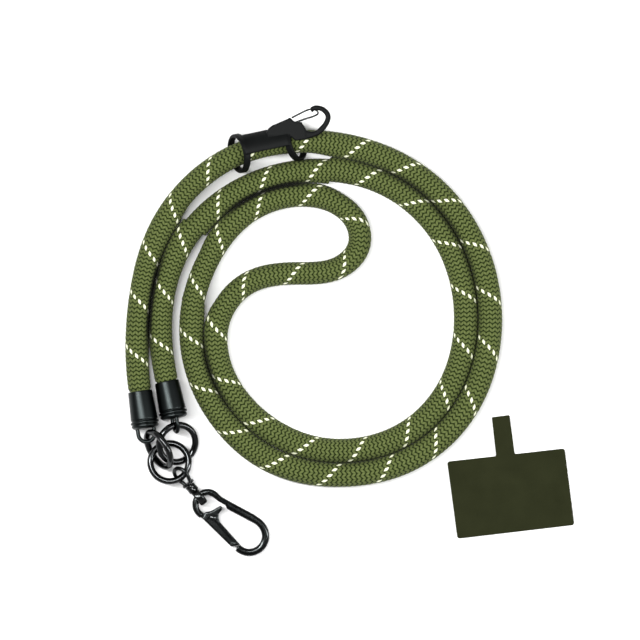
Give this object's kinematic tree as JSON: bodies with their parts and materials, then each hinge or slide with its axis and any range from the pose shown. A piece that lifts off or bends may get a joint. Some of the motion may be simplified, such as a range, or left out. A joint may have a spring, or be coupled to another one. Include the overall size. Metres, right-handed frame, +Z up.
{
  "type": "phone crossbody strap",
  "caption": "Thick braided rope strap lying in a coil, with metal end caps, linked rings, a swivel clip, a length slider and a thin phone patch.",
  "frame": {"origin": "middle of the bounding box, at the surface that the strap lies on", "axes": "+Z up from the surface; +Y towards the slider, away from the swivel clip; +X towards the phone patch"},
  "size_m": [0.2242, 0.2254, 0.0204],
  "materials": {
    "braid": "braided",
    "black_metal": "satin",
    "gunmetal": "polished",
    "black_plastic": "satin",
    "patch_cloth": "matte"
  },
  "bodies": {
    "strap": {"rope": "braid", "cap_left": "black_metal", "cap_right": "black_metal", "ring_1": "gunmetal", "ring_2": "gunmetal", "ring_3": "gunmetal", "swivel_stem": "black_metal", "slider_body": "black_plastic", "phone_patch": "patch_cloth"},
    "clip": {"swivel_barrel": "black_metal", "carabiner_frame": "black_metal", "gate_rivet": "black_metal"},
    "clip_gate": {"carabiner_gate": "black_metal"},
    "wire_gate": {"slider_gate": "black_metal"}
  },
  "joints": [
    {"name": "swivel_turn", "type": "hinge", "parent": "strap", "child": "clip", "pos_m": [-0.08127, -0.07583, 0.00529], "axis": [0.6375, -0.7651, -0.0904], "continuous": true},
    {"name": "clip_gate_swing", "type": "hinge", "parent": "clip", "child": "clip_gate", "pos_m": [-0.06855, -0.09347, 0.00367], "axis": [0.0498, -0.0382, 0.998], "range_deg": [0, 25], "stiffness_Nm_per_rad": 0.01, "springref_deg": -20.05},
    {"name": "slider_gate_swing", "type": "hinge", "parent": "strap", "child": "wire_gate", "pos_m": [-0.02706, 0.10418, 0.0142], "axis": [0, 0, -1], "range_deg": [0, 20], "stiffness_Nm_per_rad": 0.004, "springref_deg": -20.05}
  ]
}
